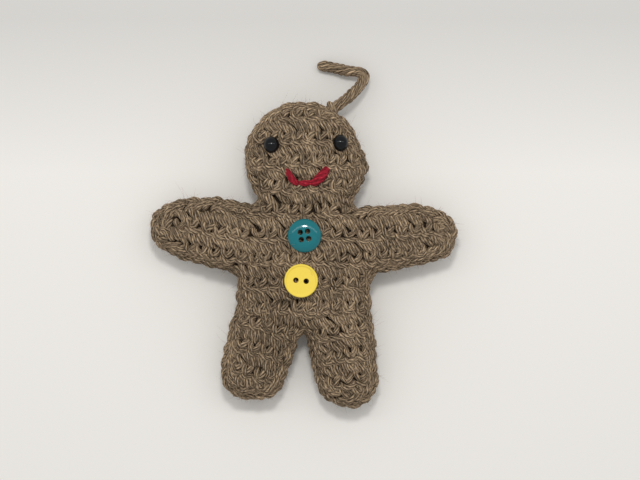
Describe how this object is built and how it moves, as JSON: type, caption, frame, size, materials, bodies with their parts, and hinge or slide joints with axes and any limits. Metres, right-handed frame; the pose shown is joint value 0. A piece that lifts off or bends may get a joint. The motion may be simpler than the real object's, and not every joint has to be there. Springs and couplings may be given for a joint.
{
  "type": "stuffed crochet gingerbread man doll",
  "caption": "Stuffed crochet doll shaped as a gingerbread man, with bead eyes, a stitched mouth, sewn buttons and a short twisted yarn cord on its head.",
  "frame": {"origin": "middle of the doll's box across and along, at its back; the cord on the head is left out of that box", "axes": "+X across the doll from its right hand to its left, +Y from its feet to its head, +Z out of its face, up from the surface it lies on"},
  "size_m": [0.1294, 0.147, 0.0282],
  "materials": {
    "wool": "taupe brown acrylic yarn in single crochet, matt and slightly fuzzy",
    "red": "red embroidery yarn, matt with fine plies",
    "black": "polished near black bead",
    "teal": "polished teal plastic",
    "yellow": "satin warm yellow plastic"
  },
  "bodies": {
    "root": {"body": "wool", "head_cord": "wool", "eye_left": "black", "eye_right": "black", "mouth_left": "red", "mouth_middle": "red", "mouth_right": "red", "button_top": "teal", "button_bottom": "yellow"}
  },
  "joints": []
}
